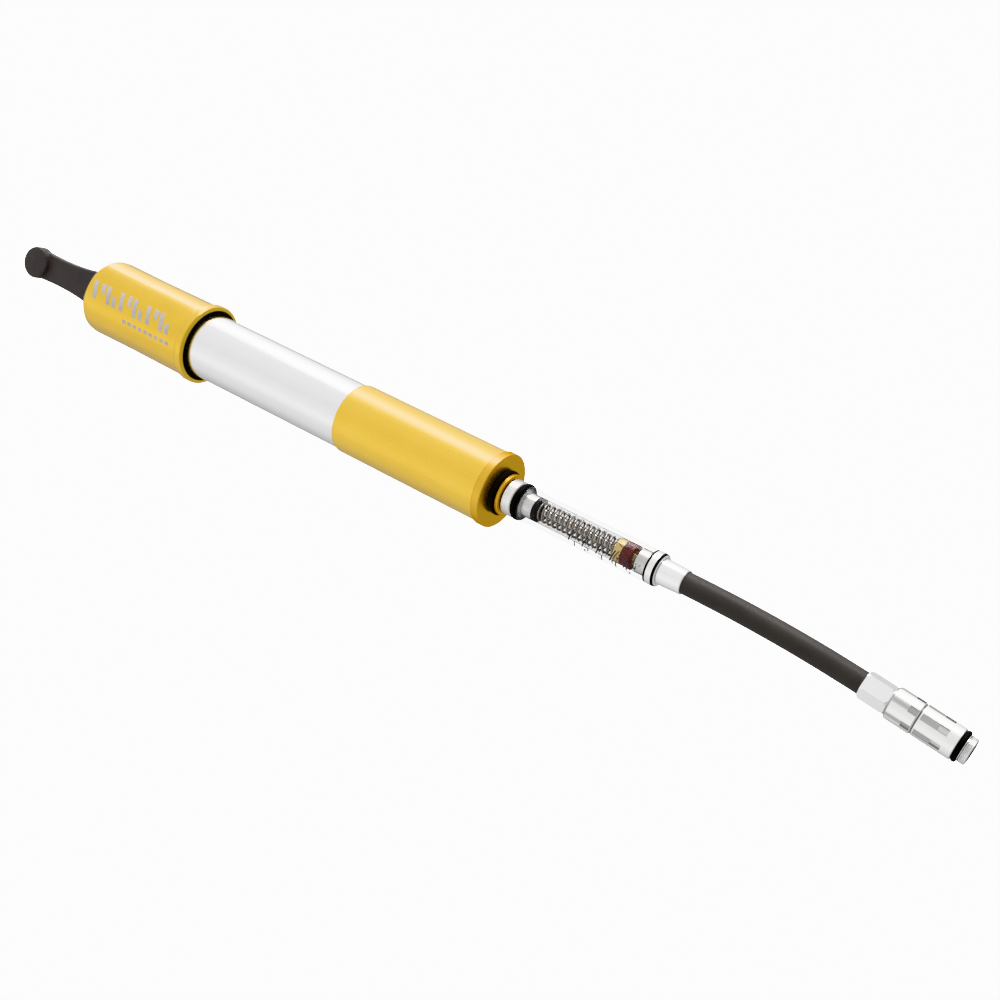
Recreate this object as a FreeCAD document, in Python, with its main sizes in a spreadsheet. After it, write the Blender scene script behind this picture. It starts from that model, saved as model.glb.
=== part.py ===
"""Shock suspension pump: a high-pressure hand pump with an inline gauge and a screw-on hose.

The pump lies on its side along X. The handle is at -X, the hose and chuck at +X, and +Z is up.
The origin is on the floor, under the middle of the pump without its hose. Lengths are in mm.

Every turned piece has its own local frame: X runs along the piece from its rear end, and the
outline gives (station, radius) pairs. A place on the pump is a station measured from the front
face of the head, positive towards the hose.
"""
import FreeCAD, Part
import Sketcher
import math
import os

from FreeCAD import Placement, Rotation, Vector

DRIVING_SIZES = {
    # the pump body
    "axis_height": 17.5,
    "face_x": 93.922,
    "barrel_radius": 14.05,
    "barrel_bore": 12.0,
    "barrel_rear": -200.0,
    "barrel_front": -3.6,
    "guide_bore": 13.1,
    "guide_depth": 14.0,
    "sleeve_rear": -74.5,
    "sleeve_front": -3.75,
    "sleeve_radius": 14.7,
    "sleeve_gap": 0.05,
    "lip_radius": 15.25,
    "lip_length": 3.6,
    "boss_radius": 8.45,
    "boss_length": 4.2,
    "face_ring_radius": 9.2,
    "face_ring_length": 3.0,
    "spigot_length": 36.0,
    "port_radius": 4.6,
    "port_depth": 8.0,
    "run_fit": 0.05,
    # the core tube and the outlet valve
    "core_radius": 9.75,
    "core_bore": 8.75,
    "core_rear": -204.0,
    "core_front": -28.05,
    "ball_radius": 2.0,
    "ball_station": -16.4,
    # the handle
    "handle_rear": -221.5,
    "handle_length": 64.0,
    "handle_radius": 16.7,
    "handle_lip_radius": 17.5,
    "handle_lip_length": 4.3,
    "handle_bore": 14.6,
    "handle_wall": 9.0,
    "bush_seat_depth": 8.6,
    "rod_seat_depth": 6.02,
    "plug_hole": 8.3,
    "bush_radius": 15.8,
    "bush_rear": -166.0,
    "bush_front": -157.9,
    "rod_radius": 11.7,
    "rod_bore": 10.05,
    "rod_rear": -218.5,
    "piston_rear": -47.0,
    "piston_length": 10.0,
    # the end plug and its pull tab
    "plug_length": 9.0,
    "plug_head_radius": 8.9,
    "plug_head": 4.0,
    "tab_reach": 40.8,
    "tab_thick": 3.4,
    "tab_disc_radius": 7.1,
    "tab_disc_thick": 5.6,
    # the hose nipple and the gauge
    "knurl_radius": 7.3,
    "knurl_depth": 0.2,
    "nipple_rear": -4.0,
    "gauge_rear": 12.0,
    "gauge_front": 69.0,
    "gauge_radius": 6.45,
    "gauge_bore": 4.8,
    "stem_radius": 1.6,
    "indicator_station": 54.4,
    "cap_radius": 6.6,
    "cap_front": 73.5,
    # the hose and its ferrules
    "ferrule_radius": 5.1,
    "ferrule_front": 83.6,
    "hose_radius": 4.33,
    # the chuck
    "hex_across": 9.7,
    "hex_length": 10.5,
    "knob_radius": 6.3,
    "knob_length": 11.0,
    "collar_radius": 6.15,
    "collar_front": 36.7,
    "tip_radius": 5.15,
    "tip_front": 41.6,
    "socket_radius": 3.55,
    "socket_depth": 7.5,
    "chuck_stem_radius": 2.9,
    "pin_radius": 1.25,
}

# The middle line of the hose, as (X, Z) with X from the head's face and Z above the floor.
# It leaves the front ferrule level and comes down to the floor with the chuck on its end.
HOSE_ROUTE = [(76.0, 17.5), (95.0, 17.5), (113.5, 16.8), (132.0, 15.35), (149.5, 13.2), (163.6, 10.95)]
CHUCK_INSET = 7.7          # how far the hose runs inside the rear ferrule

FLUTES = 6
KNURL_TEETH = 72
HEX_CORNER = 1 / math.sqrt(3)      # a hexagon's corner radius over its width across flats
TINY = 1e-6

doc = FreeCAD.newDocument("shock_pump")
sheet = doc.addObject("Spreadsheet::Sheet", "Sizes")
SUB_PARTS = []


def fill_sheet():
    """Write the driving sizes to the sheet, one named cell each."""
    for row, (name, value) in enumerate(DRIVING_SIZES.items(), start=1):
        sheet.set(f"A{row}", name)
        sheet.set(f"B{row}", str(value))
        sheet.setAlias(f"B{row}", name)
    doc.recompute()


def size(expression):
    """The value of an expression of sheet cells, such as 'barrel_bore - run_fit'."""
    return float(sheet.evalExpression(expression))


def bound(expression):
    """The same expression as another object has to write it."""
    words = str(expression).replace("(", " ( ").replace(")", " ) ").split()
    return " ".join(f"Sizes.{word}" if word in DRIVING_SIZES else word for word in words)


def chuck_frame():
    """The chuck's frame: its origin is the rear ferrule's rear end, and its X the chuck's axis."""
    (x0, z0), (x1, z1) = HOSE_ROUTE[-2:]
    run = Vector(x1 - x0, 0, z1 - z0).normalize()
    end = Vector(x1 + size("face_x"), 0, z1)
    tilt = math.degrees(math.atan2(-run.z, run.x))
    return Placement(end - run * CHUCK_INSET, Rotation(Vector(0, 1, 0), tilt))


def place_on_axis(sub_part, station):
    """Put a sub-part's local origin at a station of the pump's own axis."""
    sub_part.setExpression("Placement.Base.x", bound(f"face_x + {station}"))
    sub_part.setExpression("Placement.Base.z", bound("axis_height"))


def place_on_chuck(sub_part, station):
    """Put a sub-part's local origin at a station of the chuck's axis."""
    frame = chuck_frame()
    sub_part.Placement = frame.multiply(Placement(Vector(size(str(station)), 0, 0), Rotation()))


def keep(sub_part, label):
    """Name a finished sub-part and put it on the list of those that are written out."""
    sub_part.Label = label
    SUB_PARTS.append(sub_part)
    return sub_part


def plane(body, role):
    """One of the body's own origin planes."""
    return next(f for f in body.Origin.OriginFeatures if f.Role == role)


def closed_sketch(body, name, role, corners):
    """A closed outline whose corners are bound to the sheet, on one of the body's planes."""
    sketch = body.newObject("Sketcher::SketchObject", name)
    sketch.AttachmentSupport = [(plane(body, role), "")]
    sketch.MapMode = "FlatFace"
    points = [Vector(size(across), size(up), 0) for across, up in corners]
    for start, end in zip(points, points[1:] + points[:1]):
        sketch.addGeometry(Part.LineSegment(start, end), False)
    for edge in range(len(points)):
        after = (edge + 1) % len(points)
        sketch.addConstraint(Sketcher.Constraint("Coincident", edge, 2, after, 1))
    for edge, (point, corner) in enumerate(zip(points, corners)):
        for kind, value, expression in (("DistanceX", point.x, corner[0]), ("DistanceY", point.y, corner[1])):
            if abs(value) < TINY:
                axis = -2 if kind == "DistanceX" else -1
                sketch.addConstraint(Sketcher.Constraint("PointOnObject", edge, 1, axis))
                continue
            number = sketch.addConstraint(Sketcher.Constraint(kind, -1, 1, edge, 1, value))
            sketch.setExpression(f"Constraints[{number}]", bound(expression))
    return sketch


def turned(label, outline):
    """A body turned about its local X axis from an outline of (station, radius) pairs."""
    body = doc.addObject("PartDesign::Body", label)
    sketch = closed_sketch(body, f"{label}_outline", "XZ_Plane", outline)
    turn = body.newObject("PartDesign::Revolution", f"{label}_turning")
    turn.Profile = sketch
    turn.ReferenceAxis = (sketch, ["H_Axis"])
    turn.Angle = 360.0
    body.Tip = turn
    doc.recompute()
    return keep(body, label)


def round_rims(body, rims, radius, kind="Fillet"):
    """Round or chamfer the circular rims at the given (station, radius) places."""
    base = body.Tip
    names = []
    for number, edge in enumerate(base.Shape.Edges, start=1):
        if not isinstance(edge.Curve, Part.Circle):
            continue
        for station, rim in rims:
            near = abs(edge.Curve.Center.x - size(station)) < 1e-3
            if near and abs(edge.Curve.Radius - size(rim)) < 1e-3:
                names.append(f"Edge{number}")
    feature = body.newObject(f"PartDesign::{kind}", f"{body.Name}_{kind}_{len(body.Group)}")
    feature.Base = (base, names)
    if kind == "Fillet":
        feature.Radius = radius
    else:
        feature.Size = radius
    body.Tip = feature
    doc.recompute()


def cut_round(body, name, corners, width, count):
    """Cut a pocket that stands across the XY plane, and repeat it round the body's X axis."""
    whole = body.Tip.Shape.Volume
    pocket = body.newObject("PartDesign::Pocket", name)
    pocket.Profile = closed_sketch(body, f"{name}_shape", "XY_Plane", corners)
    pocket.Length = width
    pocket.Midplane = True
    body.Tip = pocket
    doc.recompute()
    pattern = body.newObject("PartDesign::PolarPattern", f"{name}_ring")
    pattern.Originals = [pocket]
    pattern.Axis = (next(f for f in body.Origin.OriginFeatures if f.Role == "X_Axis"), [""])
    pattern.Angle = 360.0
    pattern.Occurrences = count
    body.Tip = pattern
    doc.recompute()
    removed = whole - pattern.Shape.Volume
    print(f"{name}: {removed:.1f} of {whole:.1f} removed")
    if removed < TINY:
        raise RuntimeError(f"{name} cut nothing")


def ring(label, length, outer, bore):
    """A plain turned ring or bush."""
    return turned(label, [("0", bore), ("0", outer), (length, outer), (length, bore)])


def o_ring(label, middle_radius, thickness):
    """A round rubber ring about the X axis, on a local origin at its own middle."""
    torus = doc.addObject("Part::Torus", label)
    torus.setExpression("Radius1", bound(middle_radius))
    torus.Radius2 = thickness / 2
    torus.Placement = Placement(Vector(), Rotation(Vector(0, 1, 0), 90))
    return keep(torus, label)


def coil_spring(label, length, turns, middle_radius, wire_radius):
    """A compression spring along X, its coil starting at the local origin."""
    helix = Part.makeHelix(length / turns, length, middle_radius)
    start = helix.Vertexes[0].Point
    tangent = helix.Edges[0].tangentAt(helix.Edges[0].FirstParameter)
    section = Part.Wire(Part.makeCircle(wire_radius, start, tangent))
    coil = Part.Wire(helix.Edges).makePipeShell([section], True, True)
    spring = doc.addObject("Part::Feature", label)
    spring.Shape = coil.transformGeometry(FreeCAD.Matrix())
    spring.Placement = Placement(Vector(), Rotation(Vector(0, 1, 0), 90))
    return keep(spring, label)


# ---------------------------------------------------------------- barrel and head

def barrel_tube():
    """The pressure tube, with a wider bore at its rear end for the guide."""
    tube_length = "barrel_front - barrel_rear"
    body = turned("barrel_tube", [
        ("0", "guide_bore"), ("0", "barrel_radius"), (tube_length, "barrel_radius"),
        (tube_length, "barrel_bore"), ("guide_depth", "barrel_bore"), ("guide_depth", "guide_bore")])
    round_rims(body, [("0", "barrel_radius")], 0.4)
    place_on_axis(body, "barrel_rear")


def front_sleeve():
    """The grip sleeve over the front of the barrel, with a small step at its rear edge."""
    sleeve_length = "sleeve_front - sleeve_rear"
    body = turned("front_sleeve", [
        ("0", "barrel_radius + sleeve_gap"), ("0", "sleeve_radius - 0.25"), ("0.8", "sleeve_radius"),
        (sleeve_length, "sleeve_radius"), (sleeve_length, "barrel_radius + sleeve_gap")])
    round_rims(body, [("0", "sleeve_radius - 0.25")], 0.2)
    place_on_axis(body, "sleeve_rear")


def pump_head():
    """The head: flange lip, spigot in the barrel, boss, hose port and the valve's chamber."""
    back = "spigot_length"                  # station of the face when measured from the rear end
    outline = [
        ("0", "core_radius + run_fit"),
        ("0", "10.6"),
        (f"{back} - 16", "10.6"),
        (f"{back} - 16", "barrel_bore - 0.02"),
        (f"{back} - 11.2", "barrel_bore - 0.02"),
        (f"{back} - 11.2", "10.3"),
        (f"{back} - 8.8", "10.3"),
        (f"{back} - 8.8", "barrel_bore - 0.02"),
        (f"{back} - lip_length + 0.02", "barrel_bore - 0.02"),
        (f"{back} - lip_length + 0.02", "lip_radius"),
        (back, "lip_radius"),
        (back, "6.6"),
        (f"{back} + face_ring_length", "6.6"),
        (f"{back} + face_ring_length", "boss_radius"),
        (f"{back} + boss_length", "boss_radius"),
        (f"{back} + boss_length", "6.5"),
        (f"{back} + 2.2", "6.5"),
        (f"{back} + 2.2", "port_radius + 0.4"),
        (f"{back} - port_depth", "port_radius + 0.4"),
        (f"{back} - port_depth", "3.3"),
        (f"{back} - 20", "3.3"),
        (f"{back} - 20", "1.75"),
        (f"{back} - 26", "1.75"),
        (f"{back} - 26", "0"),
        (f"{back} - 28", "0"),
        (f"{back} - 28", "core_radius + run_fit"),
    ]
    body = turned("pump_head", outline)
    round_rims(body, [(back, "lip_radius"), (f"{back} - lip_length + 0.02", "lip_radius")], 0.45)
    round_rims(body, [(f"{back} + boss_length", "boss_radius")], 0.3)
    cut_round(body, "air_holes", [("11.2", "1"), ("12.8", "1"), ("12.8", "11"), ("11.2", "11")], 1.6, 2)
    place_on_axis(body, "- spigot_length")


def outlet_valve():
    """Seat, ball, spring and retainer of the check valve in the head."""
    seat = turned("valve_seat", [
        ("0", "1.3"), ("0", "3.28"), ("2.1", "3.28"), ("2.1", "1.75"), ("1.4", "1.3")])
    place_on_axis(seat, "- 19.95")

    ball = doc.addObject("Part::Sphere", "valve_ball")
    ball.setExpression("Radius", bound("ball_radius"))
    place_on_axis(keep(ball, "valve_ball"), "ball_station")

    spring = coil_spring("valve_spring", 4.5, 3, 1.6, 0.3)
    spring.Placement.Base = Vector(size("face_x - 14.35"), 0, size("axis_height"))

    retainer = ring("valve_retainer", "1.4", "3.28", "1.0")
    place_on_axis(retainer, "- 9.5")


def core_tube():
    """The inner tube: the piston runs on its outside and the hose is stored in its bore."""
    body = ring("core_tube", "core_front - core_rear", "core_radius", "core_bore")
    round_rims(body, [("0", "core_bore")], 0.4, "Chamfer")
    place_on_axis(body, "core_rear")


def head_seals():
    """The head's static O-ring and the ring round its boss."""
    place_on_axis(o_ring("head_o_ring", "11.12", 1.6), "- 10")
    body = ring("face_ring", "face_ring_length - 0.1", "face_ring_radius", "6.65")
    round_rims(body, [("0", "face_ring_radius"), ("face_ring_length - 0.1", "face_ring_radius")], 1.2)
    place_on_axis(body, "0.05")


def rear_guide():
    """The bush that guides the rod at the barrel's rear end, and the wiper in front of it."""
    outline = [
        ("0", "rod_radius + run_fit"), ("0", "13.9"), ("1.5", "13.9"), ("1.5", "guide_bore - 0.03"),
        ("12.5", "guide_bore - 0.03"), ("12.5", "rod_radius + run_fit")]
    body = turned("rear_guide", outline)
    round_rims(body, [("0", "13.9")], 0.4)
    place_on_axis(body, "barrel_rear - 1.52")
    wiper = ring("rod_wiper", "2.6", "guide_bore - 0.05", "rod_radius + run_fit")
    place_on_axis(wiper, "barrel_rear + 11.1")


# ---------------------------------------------------------------- handle, rod and piston

def handle_shell():
    """The handle: a cup over the barrel with a slight waist and a raised bead round its mouth."""
    bead = "handle_length - handle_lip_length"
    bush_seat = "handle_length - bush_seat_depth"
    rod_seat = "handle_wall - rod_seat_depth"
    outline = [
        ("0", "plug_hole"),
        ("0", "handle_radius - 2.4"),
        ("2.6", "handle_radius - 0.35"),
        ("5.5", "handle_radius"),
        ("handle_length * 0.45", "handle_radius - 0.2"),
        (f"{bead} - 2.6", "handle_radius"),
        (bead, "handle_radius"),
        (f"{bead} + 0.7", "handle_lip_radius"),
        ("handle_length", "handle_lip_radius"),
        ("handle_length", "bush_radius + 0.02"),
        (bush_seat, "bush_radius + 0.02"),
        (bush_seat, "handle_bore"),
        ("handle_wall", "handle_bore"),
        ("handle_wall", "rod_radius + 0.02"),
        (rod_seat, "rod_radius + 0.02"),
        (rod_seat, "plug_hole"),
    ]
    body = turned("handle_shell", outline)
    round_rims(body, [("0", "handle_radius - 2.4")], 1.6)
    round_rims(body, [("2.6", "handle_radius - 0.35")], 2.2)
    round_rims(body, [(bead, "handle_radius")], 0.9)
    round_rims(body, [(f"{bead} + 0.7", "handle_lip_radius")], 0.8)
    round_rims(body, [("handle_length", "handle_lip_radius")], 1.2)
    round_rims(body, [("0", "plug_hole")], 0.5)
    place_on_axis(body, "handle_rear")


def handle_bush():
    """The black bush in the handle's mouth; it slides on the barrel."""
    length = "bush_front - bush_rear"
    body = ring("handle_bush", length, "bush_radius", "barrel_radius + run_fit")
    round_rims(body, [(length, "bush_radius"), ("0", "bush_radius")], 0.35)
    place_on_axis(body, "bush_rear")


def piston_rod():
    """The hollow rod that joins the piston to the handle's rear wall."""
    length = "piston_rear - rod_rear"
    body = turned("piston_rod", [
        ("0", "rod_bore"), ("0", "rod_radius"), (length, "rod_radius"), (length, "10.8"),
        (f"{length} - 6", "10.8"), (f"{length} - 6", "rod_bore")])
    place_on_axis(body, "rod_rear")


def piston():
    """The annular piston with its grooves, and its outer and inner seals."""
    inner = "core_radius + run_fit"
    outer = "barrel_bore - run_fit"
    outline = [
        ("0", inner), ("0", "10.78"), ("5.9", "10.78"), ("5.9", outer),
        ("10.2", outer), ("10.2", "10.55"), ("12.4", "10.55"), ("12.4", outer),
        ("piston_length + 5.9", outer), ("piston_length + 5.9", inner),
        ("8.6", inner), ("8.6", "10.9"), ("6.6", "10.9"), ("6.6", inner)]
    body = turned("piston", outline)
    place_on_axis(body, "piston_rear - 5.9")
    outer_seal = o_ring("piston_outer_seal", "11.25", 1.38)
    place_on_axis(outer_seal, "piston_rear + 5.4")
    inner_seal = o_ring("piston_inner_seal", "10.34", 1.06)
    place_on_axis(inner_seal, "piston_rear + 1.7")


# ---------------------------------------------------------------- end plug

TAB_TURN = 57.0            # turn of the tab's flat about the pump's axis
TAB_LIFT = 3.0             # lift of the tab from the axis, square to its flat
TAB_HALF_WIDTHS = [(2.0, 8.2), (-5.0, 8.0), (-13.0, 6.9), (-22.0, 6.2), (-31.0, 6.1)]
TAB_STEP = 0.9             # how far the disc's middle lies outside the strap's middle


def tab_strap(half_widths, thick):
    """The flat strap of the tab, with smooth concave sides through the given (x, half width) places."""
    sides = []
    for side in (1, -1):
        curve = Part.BSplineCurve()
        curve.interpolate([Vector(x, side * half, -thick / 2) for x, half in half_widths])
        sides.append(curve.toShape())
    (root_x, root_half), (end_x, end_half) = half_widths[0], half_widths[-1]
    ends = [Part.makeLine(Vector(x, half, -thick / 2), Vector(x, -half, -thick / 2))
            for x, half in ((root_x, root_half), (end_x, end_half))]
    outline = Part.Wire(Part.__sortEdges__(sides + ends))
    strap = Part.Face(outline).extrude(Vector(0, 0, thick))
    long_edges = [edge for edge in strap.Edges if isinstance(edge.Curve, Part.BSplineCurve)]
    return strap.makeFillet(0.9, long_edges)


def end_plug():
    """The rubber plug in the handle's rear hole, with its pull tab and the tab's round end."""
    along = Vector(1, 0, 0)
    spigot = Part.makeCylinder(size("plug_hole") - 0.08, size("plug_length"), Vector(), along)
    head_length = size("plug_head")
    head = Part.makeCylinder(size("plug_head_radius"), head_length, Vector(-head_length, 0, 0), along)
    head = head.makeFillet(1.2, [edge for edge in head.Edges if isinstance(edge.Curve, Part.Circle)])

    reach, disc_thick = size("tab_reach"), size("tab_disc_thick")
    strap = tab_strap(TAB_HALF_WIDTHS + [(-reach, size("tab_disc_radius") - 0.4)], size("tab_thick"))
    disc_foot = Vector(-reach, 0, TAB_STEP - disc_thick / 2)
    disc = Part.makeCylinder(size("tab_disc_radius"), disc_thick, disc_foot)
    disc = disc.makeFillet(0.8, [edge for edge in disc.Edges if isinstance(edge.Curve, Part.Circle)])
    tab = strap.fuse(disc)
    flat = Rotation(along, TAB_TURN)
    lift = Rotation(Vector(0, 1, 0), TAB_LIFT)
    tab.Placement = Placement(Vector(-2, 0, 0), flat.multiply(lift))

    plug = doc.addObject("Part::Feature", "end_plug")
    plug.Shape = spigot.fuse([head, tab]).removeSplitter()
    place_on_axis(keep(plug, "end_plug"), "handle_rear - 0.05")


# ---------------------------------------------------------------- nipple and gauge

def hose_nipple():
    """The fitting that screws into the head: thread, knurled ring and the gauge's socket."""
    def at(station):
        """A station of the pump's axis as the nipple's own frame has it."""
        return f"{station} - nipple_rear"

    thread, bore = "port_radius", "1.2"
    outline = [
        (at("2.3"), "stem_radius + 0.02"), (at("2.3"), bore), ("0", bore),
        ("0", f"{thread} - 0.1"), ("0.4", f"{thread} + 0.3"), (at("2.2"), f"{thread} + 0.3"),
        (at("2.2"), thread), (at("4.5"), thread),
        (at("4.5"), "knurl_radius - 0.5"), (at("5.0"), "knurl_radius"),
        (at("8.4"), "knurl_radius"), (at("8.9"), "knurl_radius - 0.5"),
        (at("8.9"), "5.9"), (at("gauge_rear - 0.05"), "5.9"),
        (at("gauge_rear - 0.05"), "gauge_bore - 0.03"), (at("17"), "gauge_bore - 0.03"),
        (at("17"), "stem_radius + 0.02")]
    body = turned("hose_nipple", outline)
    floor = "knurl_radius - knurl_depth"
    cut_round(body, "knurl", [(at("4.3"), floor), (at("9.1"), floor), (at("9.1"), "knurl_radius + 1"),
                              (at("4.3"), "knurl_radius + 1")], 0.3, KNURL_TEETH)
    place_on_axis(body, "nipple_rear")
    place_on_axis(o_ring("nipple_o_ring", "5.55", 1.5), "3.25")

    seal = ring("gauge_o_ring", "gauge_rear - 9", "7.45", "5.95")
    round_rims(seal, [("0", "7.45"), ("gauge_rear - 9", "7.45")], 1.3)
    place_on_axis(seal, "8.95")


def gauge_tube():
    """The clear tube over the gauge, with a flared shoulder at its rear end."""
    length = "gauge_front - gauge_rear"
    body = turned("gauge_tube", [
        ("0", "gauge_bore"), ("0", "gauge_radius + 0.55"), ("0.8", "gauge_radius + 0.7"),
        ("2.4", "gauge_radius + 0.7"), ("4.4", "gauge_radius"),
        (f"{length} - 0.4", "gauge_radius"), (length, "gauge_radius - 0.3"), (length, "gauge_bore")])
    place_on_axis(body, "gauge_rear")


def gauge_inside():
    """Stem, spring seat, spring, indicator piston and its seal."""
    stem = ring("gauge_stem", "64.4", "stem_radius", "0.8")
    place_on_axis(stem, "6.35")
    seat = ring("gauge_spring_seat", "1.6", "gauge_bore - 0.1", "stem_radius + 0.02")
    place_on_axis(seat, "17.05")
    spring = coil_spring("gauge_spring", 33.4, 12, 3.7, 0.4)
    spring.Placement.Base = Vector(size("face_x + 19.15"), 0, size("axis_height"))
    brass = turned("indicator_piston", [
        ("0", "stem_radius + run_fit"), ("0", "gauge_bore - run_fit"), ("3", "gauge_bore - run_fit"),
        ("3", "3"), ("7.6", "3"), ("7.6", "stem_radius + run_fit")])
    place_on_axis(brass, "indicator_station")
    seal = ring("indicator_seal", "4.4", "gauge_bore - run_fit", "3.02")
    round_rims(seal, [("4.4", "gauge_bore - run_fit")], 0.5)
    place_on_axis(seal, "indicator_station + 3.1")


def gauge_cap():
    """The cap that closes the gauge, the ring between it and the tube, and the ring in its groove."""
    outline = [
        ("0", "stem_radius + 0.02"), ("0", "gauge_bore - 0.03"), ("5.62", "gauge_bore - 0.03"),
        ("5.62", "cap_radius - 0.25"), ("5.85", "cap_radius"), ("8.3", "cap_radius"),
        ("8.3", "cap_radius - 1"), ("9.2", "cap_radius - 1"), ("9.2", "cap_radius - 0.5"),
        ("9.5", "cap_radius - 0.7"), ("9.5", "1.0"), ("7", "1.0"), ("7", "stem_radius + 0.02")]
    body = turned("gauge_cap", outline)
    place_on_axis(body, "gauge_front - 5")
    place_on_axis(ring("gauge_front_ring", "0.56", "gauge_radius + 0.05", "gauge_bore"), "gauge_front + 0.03")
    place_on_axis(o_ring("gauge_cap_ring", "cap_radius - 0.55", 0.88), "gauge_front + 3.75")


# ---------------------------------------------------------------- hose

def front_ferrule():
    """The crimped sleeve on the hose's first end, with a hose tail behind its wall."""
    length = "ferrule_front - cap_front"
    body = turned("front_ferrule", [
        ("0.05", "1.0"), ("0.05", "ferrule_radius"), ("2.2", "ferrule_radius + 0.05"),
        (f"{length} - 0.3", "ferrule_radius - 0.25"), (length, "ferrule_radius - 0.5"),
        (length, "hose_radius + 0.02"), ("2.45", "hose_radius + 0.02"), ("2.45", "1.0")])
    place_on_axis(body, "cap_front")


def arc_of(before, corner, after):
    """The arc that rounds a corner of the route, as large as its two runs allow."""
    back, ahead = (before - corner), (after - corner)
    reach = 0.45 * min(back.Length, ahead.Length)
    turn = math.pi - back.getAngle(ahead)
    radius = reach / math.tan(turn / 2)
    middle = (back.normalize() + ahead.normalize()).normalize()
    start, end = corner + back * reach, corner + ahead * reach
    bulge = radius / math.cos(turn / 2) - radius
    return start, corner + middle * bulge, end, radius


def hose():
    """The hose: straight runs joined by tangent arcs, swept with a round section."""
    points = [Vector(x + size("face_x"), 0, z) for x, z in HOSE_ROUTE]
    edges, last, radii = [], points[0], []
    for before, corner, after in zip(points, points[1:], points[2:]):
        start, middle, end, radius = arc_of(before, corner, after)
        edges += [Part.LineSegment(last, start).toShape(), Part.Arc(start, middle, end).toShape()]
        radii.append(radius)
        last = end
    edges.append(Part.LineSegment(last, points[-1]).toShape())
    path = Part.Wire(edges)
    section = Part.Wire(Part.makeCircle(size("hose_radius"), points[0], points[1] - points[0]))
    tube = doc.addObject("Part::Feature", "hose")
    tube.Shape = path.makePipeShell([section], True, True)
    keep(tube, "hose")
    expected = math.pi * size("hose_radius") ** 2 * path.Length
    print(f"hose length {path.Length:.1f}, volume {tube.Shape.Volume:.1f} for {expected:.1f}")
    print("hose arc radii " + ", ".join(f"{radius:.0f}" for radius in radii))


# ---------------------------------------------------------------- chuck

def rear_ferrule():
    """The six-sided sleeve on the hose's far end, with turned-off corners."""
    body = doc.addObject("PartDesign::Body", "rear_ferrule")
    half = "hex_across / 2"
    corner = f"hex_across * {HEX_CORNER:.6f}"
    hexagon = [(half, f"{corner} / 2"), ("0", corner), (f"0 - {half}", f"{corner} / 2"),
               (f"0 - {half}", f"0 - {corner} / 2"), ("0", f"0 - {corner}"), (half, f"0 - {corner} / 2")]
    sketch = closed_sketch(body, "hexagon", "YZ_Plane", hexagon)
    pad = body.newObject("PartDesign::Pad", "hexagon_bar")
    pad.Profile = sketch
    pad.setExpression("Length", bound("hex_length"))
    body.Tip = pad
    doc.recompute()
    cuts = {
        "hose_socket": [("0 - 1", "0"), (str(CHUCK_INSET + 0.05), "0"),
                        (str(CHUCK_INSET + 0.05), "hose_radius + 0.02"), ("0 - 1", "hose_radius + 0.02")],
        "stem_hole": [("5", "0"), ("hex_length + 1", "0"), ("hex_length + 1", "1.8"), ("5", "1.8")],
        "rear_bevel": [("0 - 1", "4.6"), ("0 - 1", "7"), ("3", "7"), ("1", "5.6"), ("0", "5.0")],
        "front_bevel": [("hex_length + 1", "4.7"), ("hex_length + 1", "7"), ("hex_length - 2", "7"),
                        ("hex_length - 0.6", "5.4"), ("hex_length", "5.1")],
    }
    for name, outline in cuts.items():
        groove = body.newObject("PartDesign::Groove", name)
        outline_sketch = closed_sketch(body, f"{name}_outline", "XZ_Plane", outline)
        groove.Profile = outline_sketch
        groove.ReferenceAxis = (outline_sketch, ["H_Axis"])
        groove.Angle = 360.0
        body.Tip = groove
        doc.recompute()
    place_on_chuck(keep(body, "rear_ferrule"), "0")


def flute(body, name, start, end, depth, width, outer):
    """Cut one row of flat-bottomed flutes round a turned piece."""
    floor = f"{outer} - {depth}"
    cut_round(body, name, [(start, floor), (end, floor), (end, f"{outer} + 2"), (start, f"{outer} + 2")],
              width, FLUTES)


def chuck_stem():
    """The turned stem that carries the knob and the collar and takes air to the valve."""
    radius = "chuck_stem_radius"
    body = turned("chuck_stem", [
        ("0", "pin_radius + run_fit"), ("0", "1.78"), ("2.4", "1.78"), ("2.4", radius), ("15.45", radius),
        ("15.45", "4.3"), ("17.4", "4.3"), ("17.4", radius), ("19.5", radius),
        ("19.5", "pin_radius + run_fit")])
    place_on_chuck(body, "8.15")


def chuck_knob():
    """The rear knob, with six flutes that end in a deeper pocket."""
    length = "knob_length - 0.15"
    bore = "chuck_stem_radius + run_fit"
    body = turned("chuck_knob", [
        ("0", bore), ("0", "knob_radius - 1"), ("0.9", "knob_radius - 0.1"), ("1.4", "knob_radius"),
        (f"{length} - 0.6", "knob_radius"), (length, "knob_radius - 0.5"), (length, bore)])
    flute(body, "knob_flutes", "0.8", "7.2", 0.35, 2.6, "knob_radius")
    flute(body, "knob_pockets", "7.0", "10.3", 0.75, 2.6, "knob_radius")
    place_on_chuck(body, "hex_length + 0.08")


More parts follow.
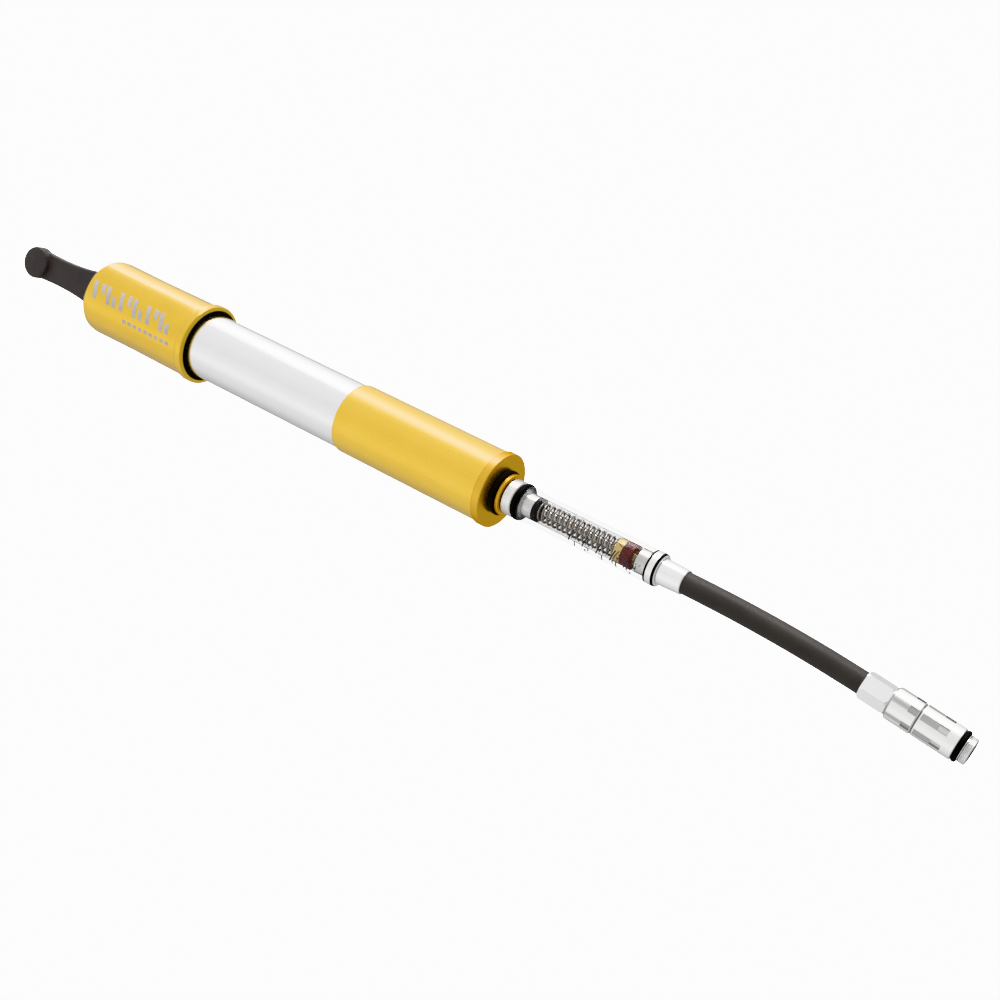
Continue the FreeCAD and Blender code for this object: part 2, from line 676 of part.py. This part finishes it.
def chuck_collar():
    """The front collar with its flutes, a ring groove, the threaded tip and the valve socket."""
    rear = "( hex_length + knob_length )"
    length = f"tip_front - {rear}"
    groove_rear = f"collar_front - {rear}"
    bore = "chuck_stem_radius + run_fit"
    outline = [
        ("0", bore), ("0", "collar_radius - 0.4"), ("0.4", "collar_radius"),
        (f"{groove_rear} - 0.4", "collar_radius"), (groove_rear, "collar_radius - 0.4"),
        (groove_rear, "4.35"), (f"{groove_rear} + 2", "4.35"), (f"{groove_rear} + 2", "tip_radius - 0.2")]
    crests = 4
    for crest in range(crests):
        outline += [(f"{groove_rear} + {2.2 + 0.65 * crest:.2f}", "tip_radius - 0.2"),
                    (f"{groove_rear} + {2.5 + 0.65 * crest:.2f}", "tip_radius"),
                    (f"{groove_rear} + {2.6 + 0.65 * crest:.2f}", "tip_radius")]
    outline += [
        (length, "tip_radius - 0.5"), (length, "socket_radius + 0.35"), (f"{length} - 0.35", "socket_radius"),
        (f"{length} - socket_depth", "socket_radius"), (f"{length} - socket_depth", "4.4"),
        ("2.0", "4.4"), ("2.0", bore)]
    body = turned("chuck_collar", outline)
    flute(body, "collar_flutes", "0.8", "7.4", 0.35, 2.6, "collar_radius")
    flute(body, "collar_pockets", "7.2", "11.0", 0.75, 2.6, "collar_radius")
    place_on_chuck(body, f"{rear} + 0.02")


def chuck_small_parts():
    """The collar's O-ring and retaining ring, the valve washer and the depressor pin."""
    seal = ring("chuck_o_ring", "1.9", "collar_radius - 0.15", "4.37")
    round_rims(seal, [("0", "collar_radius - 0.15"), ("1.9", "collar_radius - 0.15")], 0.8)
    place_on_chuck(seal, "collar_front + 0.07")
    place_on_chuck(ring("collar_retainer", "1.2", "4.38", "3.05"), "26.3")
    place_on_chuck(ring("valve_washer", "1.5", "4.3", "1.6"), "32.4")
    pin = turned("depressor_pin", [
        ("0", "0"), ("0", "pin_radius"), ("14.8", "pin_radius"), ("14.8", "0.8"),
        ("17.6", "0.8"), ("17.6", "0")])
    place_on_chuck(pin, "16.4")


def check_document():
    """Stop on any failed object or unsound shape."""
    for thing in doc.Objects:
        if {"Invalid", "Error"} & set(thing.State):
            raise RuntimeError(f"{thing.Name} failed: {thing.State}")
    for sub_part in SUB_PARTS:
        if sub_part.Shape.isNull() or not sub_part.Shape.isValid() or not sub_part.Shape.Solids:
            raise RuntimeError(f"{sub_part.Label} has no sound shape")


def write_parts():
    os.makedirs("parts", exist_ok=True)
    for sub_part in SUB_PARTS:
        sub_part.Shape.exportStep(f"parts/{sub_part.Label}.step")
    print(f"{len(SUB_PARTS)} sub-parts written")


fill_sheet()
for build in (barrel_tube, front_sleeve, pump_head, outlet_valve, core_tube, head_seals, rear_guide,
              handle_shell, handle_bush, piston_rod, piston, end_plug,
              hose_nipple, gauge_tube, gauge_inside, gauge_cap, front_ferrule, hose,
              rear_ferrule, chuck_stem, chuck_knob, chuck_collar, chuck_small_parts):
    build()
doc.recompute()
check_document()
write_parts()
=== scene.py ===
"""The looks of the shock suspension pump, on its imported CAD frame. Lengths are in metres.

The pump lies along X on the floor, with its handle at -X and its hose and chuck at +X.
A station is a distance along the pump from the front face of its head, in millimetres.
"""

import math

import bpy
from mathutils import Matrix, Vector


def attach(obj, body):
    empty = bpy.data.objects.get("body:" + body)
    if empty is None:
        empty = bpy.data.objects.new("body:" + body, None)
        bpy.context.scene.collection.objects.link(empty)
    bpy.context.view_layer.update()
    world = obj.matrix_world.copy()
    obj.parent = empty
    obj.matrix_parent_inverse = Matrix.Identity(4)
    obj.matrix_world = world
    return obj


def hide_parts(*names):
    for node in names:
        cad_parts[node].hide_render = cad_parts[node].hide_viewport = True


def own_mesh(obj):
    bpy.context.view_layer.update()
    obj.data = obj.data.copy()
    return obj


MM = 0.001
FACE_X = 0.093922                 # the front face of the pump's head
AXIS_Z = 0.0175                   # the pump's own axis above the floor
HANDLE_REAR = -221.5              # station of the handle's rear edge
TUBE_RADIUS = 6.45                # of the clear gauge tube, in millimetres
MARK_LIFT = 0.02                  # how far marks stand off the surface, in millimetres
CHUCK_RADIUS = 0.0063             # the outer radius of the chuck's knob
HOSE_RADIUS = 0.00433

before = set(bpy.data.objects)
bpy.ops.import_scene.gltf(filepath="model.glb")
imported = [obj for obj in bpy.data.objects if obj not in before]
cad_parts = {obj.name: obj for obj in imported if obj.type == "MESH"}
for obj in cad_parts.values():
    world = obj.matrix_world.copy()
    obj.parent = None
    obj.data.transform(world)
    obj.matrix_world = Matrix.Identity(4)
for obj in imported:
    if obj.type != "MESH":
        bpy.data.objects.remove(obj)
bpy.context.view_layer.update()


def x_at(station):
    """The X of a station of the pump's axis."""
    return FACE_X + station * MM


# The middle line of the hose, as (station, height) in millimetres. The chuck's axis goes on from
# its last run.
HOSE_ROUTE = [(76.0, 17.5), (95.0, 17.5), (113.5, 16.8), (132.0, 15.35), (149.5, 13.2), (163.6, 10.95)]
HOSE_LINE = [Vector((x_at(station), 0, height * MM)) for station, height in HOSE_ROUTE]
CHUCK_POINT = HOSE_LINE[-1]
CHUCK_AXIS = (HOSE_LINE[-1] - HOSE_LINE[-2]).normalized()


# ---------------------------------------------------------------- material tools

def new_material(name):
    """An empty node material with its output, as (material, nodes, links, output)."""
    material = bpy.data.materials.new(name)
    material.use_nodes = True
    nodes, links = material.node_tree.nodes, material.node_tree.links
    nodes.clear()
    return material, nodes, links, nodes.new("ShaderNodeOutputMaterial")


def noise(nodes, links, scale, stretch=(1, 1, 1)):
    """A noise field in the object's own coordinates, stretched along its axes."""
    place = nodes.new("ShaderNodeTexCoord")
    mapping = nodes.new("ShaderNodeMapping")
    mapping.inputs["Scale"].default_value = stretch
    field = nodes.new("ShaderNodeTexNoise")
    field.inputs["Scale"].default_value = scale
    field.inputs["Detail"].default_value = 3.0
    links.new(place.outputs["Object"], mapping.inputs["Vector"])
    links.new(mapping.outputs["Vector"], field.inputs["Vector"])
    return field.outputs["Fac"]


def mapped(nodes, links, value, from_low, from_high, to_low=0.0, to_high=1.0, interpolation="LINEAR"):
    """The value mapped from one range to another, and held at its ends."""
    ranged = nodes.new("ShaderNodeMapRange")
    ranged.interpolation_type = interpolation
    ranged.inputs["From Min"].default_value = from_low
    ranged.inputs["From Max"].default_value = from_high
    ranged.inputs["To Min"].default_value = to_low
    ranged.inputs["To Max"].default_value = to_high
    links.new(value, ranged.inputs["Value"])
    return ranged.outputs["Result"]


def spread(nodes, links, field, low, high):
    """A noise field mapped to low to high; most of its values lie between 0.3 and 0.7."""
    return mapped(nodes, links, field, 0.3, 0.7, low, high)


def ramp(nodes, links, value, stops):
    """A colour ramp over the value, through (position, colour) stops."""
    node = nodes.new("ShaderNodeValToRGB")
    elements = node.color_ramp.elements
    while len(elements) < len(stops):
        elements.new(0.5)
    for element, (position, colour) in zip(elements, stops):
        element.position = position
        element.color = (*colour, 1)
    links.new(value, node.inputs["Fac"])
    return node.outputs["Color"]


def between(nodes, links, field, first, second):
    """A colour between two colours, by a noise field."""
    return ramp(nodes, links, field, [(0.3, first), (0.7, second)])


def maths(nodes, links, operation, first, second):
    """One operation on two values, each a number or the output of a node."""
    node = nodes.new("ShaderNodeMath")
    node.operation = operation
    for socket, value in zip(node.inputs, (first, second)):
        if isinstance(value, (int, float)):
            socket.default_value = value
        else:
            links.new(value, socket)
    return node.outputs["Value"]


def vector_maths(nodes, links, operation, first, second=(0, 0, 0)):
    """One operation on the output of a node and a fixed vector, which a length does not need."""
    node = nodes.new("ShaderNodeVectorMath")
    node.operation = operation
    node.inputs[1].default_value = second
    links.new(first, node.inputs[0])
    return node.outputs["Value" if operation in ("DOT_PRODUCT", "LENGTH") else "Vector"]


def clad(nodes, links, shader, tones, roughness, fine, bump):
    """Give a shader its two close tones, its varied gloss and its fine grain."""
    links.new(tones, shader.inputs["Base Color"])
    links.new(spread(nodes, links, fine, *roughness), shader.inputs["Roughness"])
    relief = nodes.new("ShaderNodeBump")
    relief.inputs["Strength"].default_value = bump
    relief.inputs["Distance"].default_value = 0.0001
    links.new(fine, relief.inputs["Height"])
    links.new(relief.outputs["Normal"], shader.inputs["Normal"])


def metal(name, first, second, roughness, edge=(1, 1, 1), haze=0.0):
    """A turned or drawn metal with a grain along its length.

    The edge is its tint at grazing view, and the haze the weight of a rough clear coat on it.
    """
    material, nodes, links, output = new_material(name)
    shader = nodes.new("ShaderNodeBsdfPrincipled")
    shader.inputs["Metallic"].default_value = 1.0
    shader.inputs["Specular Tint"].default_value = (*edge, 1)
    shader.inputs["Coat Weight"].default_value = haze
    shader.inputs["Coat Roughness"].default_value = 0.45
    tones = between(nodes, links, noise(nodes, links, 60.0), first, second)
    clad(nodes, links, shader, tones, roughness, noise(nodes, links, 900.0, (0.03, 1, 1)), 0.02)
    links.new(shader.outputs["BSDF"], output.inputs["Surface"])
    return material


def soft(name, first, second, roughness, bump=0.08, specular=0.5):
    """Rubber, plastic, print or an etched mark."""
    material, nodes, links, output = new_material(name)
    shader = nodes.new("ShaderNodeBsdfPrincipled")
    shader.inputs["Specular IOR Level"].default_value = specular
    tones = between(nodes, links, noise(nodes, links, 120.0), first, second)
    clad(nodes, links, shader, tones, roughness, noise(nodes, links, 1400.0), bump)
    links.new(shader.outputs["BSDF"], output.inputs["Surface"])
    return material


def clear_plastic(name):
    """Clear moulded plastic: seen through, with an outer gloss.

    Both are painted shade: it is greyer at its edges, and on the half that faces down and back it is
    darker, which stands for the bending of light in the wall. So it looks right from above and in front.
    """
    material, nodes, links, output = new_material(name)
    through = nodes.new("ShaderNodeBsdfTransparent")
    gloss = nodes.new("ShaderNodeBsdfGlossy")
    mix = nodes.new("ShaderNodeMixShader")
    fresnel = nodes.new("ShaderNodeFresnel")
    fresnel.inputs["IOR"].default_value = 1.45
    side = nodes.new("ShaderNodeNewGeometry")
    facing = nodes.new("ShaderNodeLayerWeight")
    place = nodes.new("ShaderNodeTexCoord")
    cloud = noise(nodes, links, 200.0)
    from_axis = vector_maths(nodes, links, "SUBTRACT", place.outputs["Object"], (0, 0, AXIS_Z))
    upper_front = vector_maths(nodes, links, "DOT_PRODUCT", from_axis, (0, -0.68, 0.73))
    # painted shade: less passes through on the lower rear half and at the edges
    wall = mapped(nodes, links, upper_front, -0.001, 0.001, 0.52, 0.93)
    rim = mapped(nodes, links, facing.outputs["Facing"], 0.70, 1.0, 1.0, 0.55)
    tone = maths(nodes, links, "MULTIPLY", wall, rim)
    tone = maths(nodes, links, "MULTIPLY", tone, spread(nodes, links, cloud, 0.97, 1.0))
    links.new(tone, through.inputs["Color"])
    links.new(spread(nodes, links, cloud, 0.03, 0.07), gloss.inputs["Roughness"])
    outer = maths(nodes, links, "SUBTRACT", 1.0, side.outputs["Backfacing"])
    links.new(maths(nodes, links, "MULTIPLY", fresnel.outputs["Fac"], outer), mix.inputs["Fac"])
    links.new(through.outputs["BSDF"], mix.inputs[1])
    links.new(gloss.outputs["BSDF"], mix.inputs[2])
    links.new(mix.outputs["Shader"], output.inputs["Surface"])
    return material


# The chuck's tone by the distance from its axis, as (share of its radius, grey). The nearly black bores
# and the grey flutes are painted shade.
CHUCK_SHADE_TONES = [(0.0, 0.02), (0.60, 0.03), (0.66, 0.20), (0.74, 0.86), (0.84, 0.86), (0.885, 0.42),
               (0.945, 0.52), (0.965, 0.90)]


def fluted_metal(name):
    """Bright turned metal for the chuck, with painted shade: its flutes are darker grey and its bores
    nearly black.
    """
    material, nodes, links, output = new_material(name)
    shader = nodes.new("ShaderNodeBsdfPrincipled")
    shader.inputs["Metallic"].default_value = 1.0
    place = nodes.new("ShaderNodeTexCoord")
    from_chuck = vector_maths(nodes, links, "SUBTRACT", place.outputs["Object"], CHUCK_POINT)
    across = vector_maths(nodes, links, "CROSS_PRODUCT", from_chuck, CHUCK_AXIS)
    share = maths(nodes, links, "DIVIDE", vector_maths(nodes, links, "LENGTH", across), CHUCK_RADIUS)
    # painted shade: darker grey in the flutes and nearly black in the bores
    stops = [(position, (grey, grey, grey * 0.99)) for position, grey in CHUCK_SHADE_TONES]
    links.new(ramp(nodes, links, share, stops), shader.inputs["Base Color"])
    fine = noise(nodes, links, 900.0)
    links.new(spread(nodes, links, fine, 0.20, 0.30), shader.inputs["Roughness"])
    links.new(shader.outputs["BSDF"], output.inputs["Surface"])
    return material


GOLD_EDGE = (0.95, 0.60, 0.35)     # the tint of the head at grazing view

FINISHES = {
    "gold": metal("gold", (0.86, 0.57, 0.085), (0.90, 0.60, 0.095), (0.13, 0.19), haze=0.3),
    "gold_hazy": metal("gold_hazy", (0.89, 0.60, 0.090), (0.93, 0.63, 0.100), (0.24, 0.31), haze=0.55),
    "gold_edge": metal("gold_edge", (0.76, 0.48, 0.085), (0.81, 0.51, 0.095), (0.24, 0.32),
                       edge=GOLD_EDGE),
    "barrel_silver": metal("barrel_silver", (0.87, 0.87, 0.88), (0.89, 0.89, 0.90), (0.15, 0.20)),
    "satin_silver": metal("satin_silver", (0.86, 0.85, 0.84), (0.90, 0.89, 0.88), (0.22, 0.32)),
    "chrome_ferrule": metal("chrome_ferrule", (0.88, 0.88, 0.88), (0.92, 0.92, 0.92), (0.10, 0.16)),
    "inner_alu": metal("inner_alu", (0.70, 0.70, 0.72), (0.76, 0.76, 0.78), (0.25, 0.35)),
    "brass": metal("brass", (0.84, 0.62, 0.28), (0.90, 0.68, 0.33), (0.15, 0.25)),
    "steel": metal("steel", (0.60, 0.58, 0.56), (0.66, 0.64, 0.62), (0.16, 0.26)),
    "spring_wire": metal("spring_wire", (0.42, 0.37, 0.32), (0.48, 0.43, 0.38), (0.22, 0.32)),
    "fluted": fluted_metal("fluted"),
    "clear": clear_plastic("clear"),
    "black_rubber": soft("black_rubber", (0.006, 0.006, 0.006), (0.010, 0.009, 0.009), (0.50, 0.62),
                         specular=0.12),
    "plug_rubber": soft("plug_rubber", (0.056, 0.047, 0.046), (0.068, 0.058, 0.057), (0.50, 0.62)),
    "hose_rubber": soft("hose_rubber", (0.056, 0.051, 0.047), (0.066, 0.060, 0.055), (0.45, 0.55),
                        specular=0.3),
    "red_seal": soft("red_seal", (0.16, 0.02, 0.02), (0.20, 0.03, 0.03), (0.30, 0.40)),
    "black_plastic": soft("black_plastic", (0.008, 0.008, 0.008), (0.012, 0.012, 0.012), (0.45, 0.55),
                          specular=0.15),
    "print_black": soft("print_black", (0.030, 0.030, 0.030), (0.040, 0.040, 0.040), (0.45, 0.55),
                        bump=0.0),
    "print_grey": soft("print_grey", (0.12, 0.12, 0.12), (0.16, 0.16, 0.16), (0.45, 0.55), bump=0.0),
    "etched": soft("etched", (0.52, 0.47, 0.42), (0.60, 0.55, 0.50), (0.40, 0.50), bump=0.0),
}

NODE_FINISH = {
    "gold": ["handle_shell"],
    "gold_hazy": ["front_sleeve"],
    "gold_edge": ["pump_head"],
    "barrel_silver": ["barrel_tube"],
    "satin_silver": ["hose_nipple", "gauge_cap", "chuck_stem"],
    "fluted": ["chuck_knob", "chuck_collar"],
    "chrome_ferrule": ["front_ferrule", "rear_ferrule"],
    "inner_alu": ["core_tube", "piston_rod", "piston"],
    "brass": ["valve_seat", "valve_retainer", "indicator_piston", "depressor_pin"],
    "steel": ["valve_ball", "valve_spring", "gauge_stem", "gauge_spring", "collar_retainer"],
    "clear": ["gauge_tube"],
    "black_rubber": ["head_o_ring", "face_ring", "rod_wiper", "piston_outer_seal", "piston_inner_seal",
                     "nipple_o_ring", "gauge_o_ring", "gauge_front_ring", "gauge_cap_ring",
                     "chuck_o_ring", "valve_washer"],
    "plug_rubber": ["end_plug"],
    "hose_rubber": ["hose"],
    "red_seal": ["indicator_seal"],
    "black_plastic": ["rear_guide", "handle_bush", "gauge_spring_seat"],
}


def paint(piece, finish):
    """Give a piece its finish."""
    piece.data.materials.clear()
    piece.data.materials.append(FINISHES[finish])


for finish, names in NODE_FINISH.items():
    for name in names:
        paint(bpy.data.objects[name], finish)


# ---------------------------------------------------------------- detail pieces

def add_piece(name, mesh, body, finish):
    """A new mesh piece of the object, in the CAD's own frame, that rides on a CAD body."""
    piece = bpy.data.objects.new(name, mesh)
    bpy.context.scene.collection.objects.link(piece)
    paint(piece, finish)
    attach(piece, body)
    return piece


def coil_mesh(name, start, end, turns, radius, wire):
    """A coil spring along the pump's axis, its turns closer together at each end."""
    around, per_turn = 10, 40         # points round the wire, and rings of points in each turn
    end_turns, tightest = 1.2, 0.3    # how many turns close up at each end, and how far
    rings = []
    steps = int(turns * per_turn)
    for step in range(steps + 1):
        turn = turns * step / steps
        ease = min(turn / end_turns, (turns - turn) / end_turns, 1.0)
        rings.append((turn, tightest + (1 - tightest) * ease))
    total = sum(pace for _, pace in rings[1:])
    mesh_points, faces, travelled = [], [], 0.0
    length = end - start - 2 * wire
    for number, (turn, pace) in enumerate(rings):
        travelled += pace if number else 0.0
        angle = 2 * math.pi * turn
        x = start + wire + length * travelled / total
        outward, forward = Vector((0, math.cos(angle), math.sin(angle))), Vector((1, 0, 0))
        centre = Vector((x, 0, AXIS_Z)) + outward * radius
        for corner in range(around):
            spin = 2 * math.pi * corner / around
            mesh_points.append(centre + wire * (math.cos(spin) * outward + math.sin(spin) * forward))
        if number:
            base = (number - 1) * around
            ahead = base + around
            for corner in range(around):
                after = (corner + 1) % around
                faces.append((base + corner, base + after, ahead + after, ahead + corner))
    last = len(rings) - 1
    faces.append(tuple(range(around)))
    faces.append(tuple(reversed(range(last * around, last * around + around))))
    mesh = bpy.data.meshes.new(name)
    mesh.from_pydata(mesh_points, [], faces)
    mesh.shade_smooth()
    return mesh


def springs():
    """Both springs, as coils that ride on their bodies in place of the CAD's springs."""
    start, end = x_at(18.7), x_at(54.35)
    coil = coil_mesh("gauge_coil", start, end, turns=16, radius=3.35 * MM, wire=0.45 * MM)
    gauge = add_piece("gauge_coil", coil, "hose_line", "spring_wire")
    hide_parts("gauge_spring")
    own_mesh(gauge)

    start, end = x_at(-14.6), x_at(-9.55)
    coil = coil_mesh("valve_coil", start, end, turns=4, radius=1.6 * MM, wire=0.3 * MM)
    valve = add_piece("valve_coil", coil, "barrel", "steel")
    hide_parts("valve_spring")
    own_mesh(valve)


def pull_tab():
    """The rubber plug and its tab, with every edge moulded soft."""
    source = bpy.data.objects["end_plug"]
    piece = add_piece("rubber_plug", source.data.copy(), "plug", "plug_rubber")
    remesh = piece.modifiers.new("skin", "REMESH")
    remesh.mode = "VOXEL"
    remesh.voxel_size = 0.00032
    remesh.use_smooth_shade = True
    smooth = piece.modifiers.new("moulded", "SMOOTH")
    smooth.factor = 0.5
    smooth.iterations = 14
    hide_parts("end_plug")


def hose_cord():
    """The hose from inside the front ferrule to inside the rear one."""
    curve = bpy.data.curves.new("hose_tube", "CURVE")
    curve.dimensions = "3D"
    curve.resolution_u = 24
    curve.bevel_depth = HOSE_RADIUS
    curve.bevel_resolution = 10
    curve.use_fill_caps = True
    spline = curve.splines.new("NURBS")
    spline.points.add(len(HOSE_LINE) - 1)
    for point, place in zip(spline.points, HOSE_LINE):
        point.co = (*place, 1)
    spline.order_u = 3
    spline.use_endpoint_u = True
    piece = bpy.data.objects.new("hose_tube", curve)
    bpy.context.scene.collection.objects.link(piece)
    curve.materials.append(FINISHES["hose_rubber"])
    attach(piece, "hose_line")
    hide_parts("hose")


def wrapped(name, outlines, radius_at, body, finish):
    """Thin flat marks laid round the pump's axis.

    Each outline is a list of (station, angle) corners in millimetres and degrees; the angle is 0
    in front and 90 on top. Every mark is cut into slices of two to three degrees to lie close.
    """
    points, faces = [], []
    for corners in outlines:
        low_edge, high_edge = corners[:2], corners[2:]
        slices = max(1, int(abs(high_edge[0][1] - low_edge[0][1]) / 2))
        base = len(points)
        for step in range(slices + 1):
            share = step / slices
            for first, second in zip(low_edge, high_edge):
                station = first[0] + (second[0] - first[0]) * share
                angle = math.radians(first[1] + (second[1] - first[1]) * share)
                radius = (radius_at(station) + MARK_LIFT) * MM
                height = AXIS_Z + radius * math.sin(angle)
                points.append((x_at(station), -radius * math.cos(angle), height))
        for step in range(slices):
            corner = base + 2 * step
            faces.append((corner, corner + 1, corner + 3, corner + 2))
    mesh = bpy.data.meshes.new(name)
    mesh.from_pydata(points, [], faces)
    return add_piece(name, mesh, body, finish)


def bar(start, end, low_angle, high_angle, slant=0.0):
    """The corners of a bar between two stations, its upper end shifted by the slant."""
    return [(start, low_angle), (end, low_angle), (start + slant, high_angle), (end + slant, high_angle)]


def handle_radius(station):
    """The handle's outer radius in millimetres, with its slight waist."""
    widest, dip = 16.7, 0.2
    taper_start, waist, taper_end = 5.5, 28.8, 57.1     # distances from the handle's rear edge
    along = station - HANDLE_REAR
    if along < waist:
        return widest - dip * max(along - taper_start, 0) / (waist - taper_start)
    return widest - dip + dip * (along - waist) / (taper_end - waist)


def handle_mark():
    """A plain pattern of slanted bars etched on the handle, and a row of small blocks below it."""
    outlines = []
    bar_pitch, block_pitch = 8.2, 3.3
    for number in range(6):
        start = -214.0 + bar_pitch * number
        outlines.append(bar(start, start + 2.4, 33, 60, -2.6))
        low_angle, high_angle = (33, 48) if number % 2 else (45, 60)
        outlines.append(bar(start + 3.6, start + 5.9, low_angle, high_angle, -1.4))
    for number in range(9):
        start = -194.0 + block_pitch * number
        outlines.append(bar(start, start + 2.2, 18, 23.5, -0.5))
    wrapped("handle_mark", outlines, handle_radius, "handle", "etched")


# A numeral's strokes, each as (left, right, bottom, top) shares of its width and height.
SEGMENTS = {"a": (0, 1, 0.88, 1), "b": (0.72, 1, 0.5, 1), "c": (0.72, 1, 0, 0.5), "d": (0, 1, 0, 0.12),
            "e": (0, 0.28, 0, 0.5), "f": (0, 0.28, 0.5, 1), "g": (0, 1, 0.44, 0.56)}
STROKES = {1: "bc", 2: "abged", 3: "abgcd", 4: "fgbc", 5: "afgcd", 6: "afgedc"}


def numeral(digit, start, width, low_angle, height):
    """The bars of one plain numeral; its width is in millimetres and its height in degrees."""
    bars = []
    for name in STROKES[digit]:
        left, right, bottom, top = SEGMENTS[name]
        bars.append(bar(start + width * left, start + width * right, low_angle + height * bottom,
                        low_angle + height * top))
    return bars


def gauge_scale():
    """The gauge's printed scale: slanted ticks, plain numerals and a row of small ones above."""
    def tube_radius(station):
        """The tube's radius, which is the same at every station."""
        return TUBE_RADIUS

    dark, grey = [], []
    tick_pitch, small_pitch = 6.2, 3.4
    for number in range(5):
        start = 36.0 + tick_pitch * number
        dark.append(bar(start - 0.3, start + 0.3, -6, 40, 1.6))
        for minor in (1.5, 3.0, 4.5):
            dark.append(bar(start + minor - 0.2, start + minor + 0.2, 8, 22, 0.5))
        dark += numeral(number + 1, start + 0.9, 2.2, -24, 24)
    for number in range(12):
        grey += numeral(number % 6 + 1, 20.8 + small_pitch * number, 1.5, 66, 18)
    wrapped("gauge_scale", dark, tube_radius, "hose_line", "print_black")
    wrapped("gauge_scale_small", grey, tube_radius, "hose_line", "print_grey")


springs()
pull_tab()
hose_cord()
handle_mark()
gauge_scale()


# ---------------------------------------------------------------- light, floor and camera

# The studio's brightness by the angle round the pump's axis, in degrees: 0 is level in front,
# 90 is straight up and -90 straight down. A long soft light stands above and behind.
STUDIO = [(-180, 0.95), (-160, 0.60), (-133, 0.35), (-89, 0.57), (-69, 0.69), (-55, 0.81),
          (-41, 0.85), (-29, 0.89), (-19, 0.95), (-9, 1.03), (-1, 1.11), (11, 0.99), (19, 0.965),
          (37, 0.93), (47, 0.91), (56, 0.93), (73, 0.96), (118, 0.965), (122, 7.0), (136, 7.0),
          (150, 2.0), (163, 1.3), (180, 0.95)]
BRIGHTEST = max(value for _, value in STUDIO)

# The brightness of the side the hose points to. It begins at one X of the direction, and is whole at
# the other.
AHEAD, AHEAD_FROM, AHEAD_FULL = 0.58, 0.05, 0.40

# The turn of the light's band in radians: BAND_RATE for each 1 of the direction's X past BAND_START,
# and BAND_MOST at the most.
BAND_START, BAND_RATE, BAND_MOST = -0.58, 2.7, 0.2


def studio_world():
    """The studio as a world whose brightness depends on the direction.

    The light above stands close, so the place of its band turns a little with the direction along X.
    """
    world = bpy.data.worlds.new("studio")
    bpy.context.scene.world = world
    world.use_nodes = True
    nodes, links = world.node_tree.nodes, world.node_tree.links
    nodes.clear()
    output = nodes.new("ShaderNodeOutputWorld")
    background = nodes.new("ShaderNodeBackground")
    place = nodes.new("ShaderNodeTexCoord")
    parts = nodes.new("ShaderNodeSeparateXYZ")
    links.new(place.outputs["Generated"], parts.inputs["Vector"])
    front = maths(nodes, links, "MULTIPLY", parts.outputs["Y"], -1.0)
    angle = maths(nodes, links, "ARCTAN2", parts.outputs["Z"], front)
    upper = mapped(nodes, links, angle, math.radians(80), math.radians(110))
    past_start = maths(nodes, links, "SUBTRACT", parts.outputs["X"], BAND_START)
    turn = maths(nodes, links, "MULTIPLY", past_start, BAND_RATE)
    turn = maths(nodes, links, "MULTIPLY", turn, upper)
    turn = maths(nodes, links, "MINIMUM", turn, BAND_MOST)
    share = mapped(nodes, links, maths(nodes, links, "ADD", angle, turn), -math.pi, math.pi)
    stops = [((degrees + 180) / 360, (value / BRIGHTEST,) * 3) for degrees, value in STUDIO]
    blend = nodes.new("ShaderNodeMix")
    blend.data_type = "RGBA"
    factor, around, ahead = blend.inputs[0], blend.inputs[6], blend.inputs[7]
    ahead.default_value = (AHEAD / BRIGHTEST,) * 3 + (1,)
    ahead_share = mapped(nodes, links, parts.outputs["X"], AHEAD_FROM, AHEAD_FULL,
                         interpolation="SMOOTHSTEP")
    links.new(ahead_share, factor)
    links.new(ramp(nodes, links, share, stops), around)
    links.new(blend.outputs[2], background.inputs["Color"])
    background.inputs["Strength"].default_value = BRIGHTEST
    links.new(background.outputs["Background"], output.inputs["Surface"])


def pale_floor():
    """A plain white floor that glows evenly and shows no shadow."""
    mesh = bpy.data.meshes.new("floor")
    half, height = 60.0, -0.0002
    corners = [(-half, -half), (half, -half), (half, half), (-half, half)]
    mesh.from_pydata([(x, y, height) for x, y in corners], [], [(0, 1, 2, 3)])
    floor = bpy.data.objects.new("floor", mesh)
    bpy.context.scene.collection.objects.link(floor)
    material, nodes, links, output = new_material("floor")
    glow = nodes.new("ShaderNodeEmission")
    glow.inputs["Strength"].default_value = 3.5     # a stronger glow washes out the thin print
    links.new(between(nodes, links, noise(nodes, links, 0.5), (0.97, 0.97, 0.97), (1.0, 1.0, 1.0)),
              glow.inputs["Color"])
    links.new(glow.outputs["Emission"], output.inputs["Surface"])
    mesh.materials.append(material)
    floor.visible_diffuse = False
    floor.visible_glossy = False
    floor.visible_shadow = False


def add_camera():
    """The camera, to the right in front of the pump and above it."""
    azimuth, elevation = math.radians(37.77), math.radians(40.35)
    back = Vector((math.sin(azimuth) * math.cos(elevation), -math.cos(azimuth) * math.cos(elevation),
                   math.sin(elevation)))
    data = bpy.data.cameras.new("camera")
    data.lens = 59.7
    data.sensor_width = 36.0
    data.clip_start = 0.01
    camera = bpy.data.objects.new("camera", data)
    camera.location = (0.390835, -0.3843, 0.4257)
    camera.rotation_mode = "QUATERNION"
    camera.rotation_quaternion = back.to_track_quat("Z", "Y")
    bpy.context.scene.collection.objects.link(camera)
    bpy.context.scene.camera = camera


studio_world()
pale_floor()
add_camera()
bpy.context.scene.view_settings.view_transform = "Khronos PBR Neutral"
